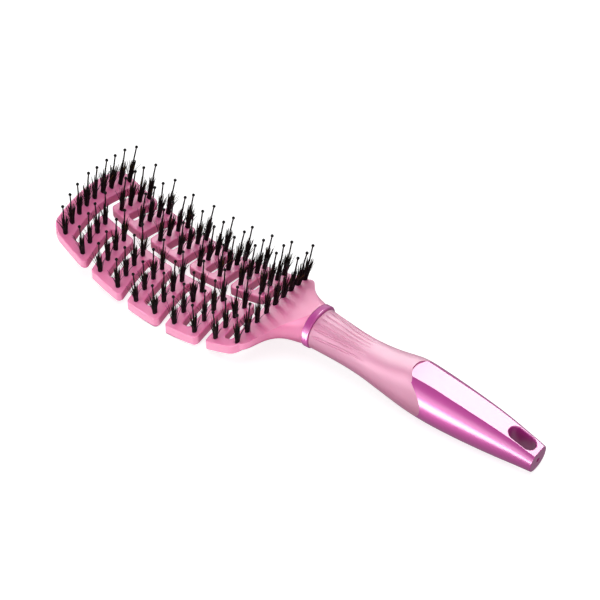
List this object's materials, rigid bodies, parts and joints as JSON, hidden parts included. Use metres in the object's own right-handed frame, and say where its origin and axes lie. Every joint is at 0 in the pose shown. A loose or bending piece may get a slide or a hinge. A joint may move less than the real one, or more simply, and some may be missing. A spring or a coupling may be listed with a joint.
{
  "type": "vented hair brush",
  "caption": "Curved vented hair brush with bristle tufts set round ball-tipped pins, a ribbed soft-touch grip, a metallic collar and a metallic handle end with a hanging slot.",
  "frame": {"origin": "middle of the bounding box's bottom, on the surface that the brush lies on with its back down", "axes": "+X from the head's tip to the handle's end, +Y across the head, +Z the bristle side"},
  "size_m": [0.2408, 0.0578, 0.0469],
  "materials": {
    "head_pink": "soft-touch matt moulding",
    "grip_pink": "soft-touch matt elastomer",
    "plated_pink": "metallic pink plating over plastic",
    "bristle": "natural dark bristle, packed in tufts",
    "pin_nylon": "black nylon",
    "anchor_wire": "flat wire"
  },
  "bodies": {
    "root": {"head_frame": "head_pink", "collar_ring": "plated_pink", "grip_sleeve": "grip_pink", "handle_end": "plated_pink", "tuft_anchors": "anchor_wire", "bristle_row_01": "bristle", "bristle_row_02": "bristle", "bristle_row_03": "bristle", "bristle_row_04": "bristle", "bristle_row_05": "bristle", "bristle_row_06": "bristle", "bristle_row_07": "bristle", "bristle_row_08": "bristle", "bristle_row_09": "bristle", "bristle_row_10": "bristle", "pin_row_01": "pin_nylon", "pin_row_02": "pin_nylon", "pin_row_03": "pin_nylon", "pin_row_04": "pin_nylon", "pin_row_05": "pin_nylon", "pin_row_06": "pin_nylon", "pin_row_07": "pin_nylon", "pin_row_08": "pin_nylon", "pin_row_09": "pin_nylon", "pin_row_10": "pin_nylon"}
  },
  "joints": []
}
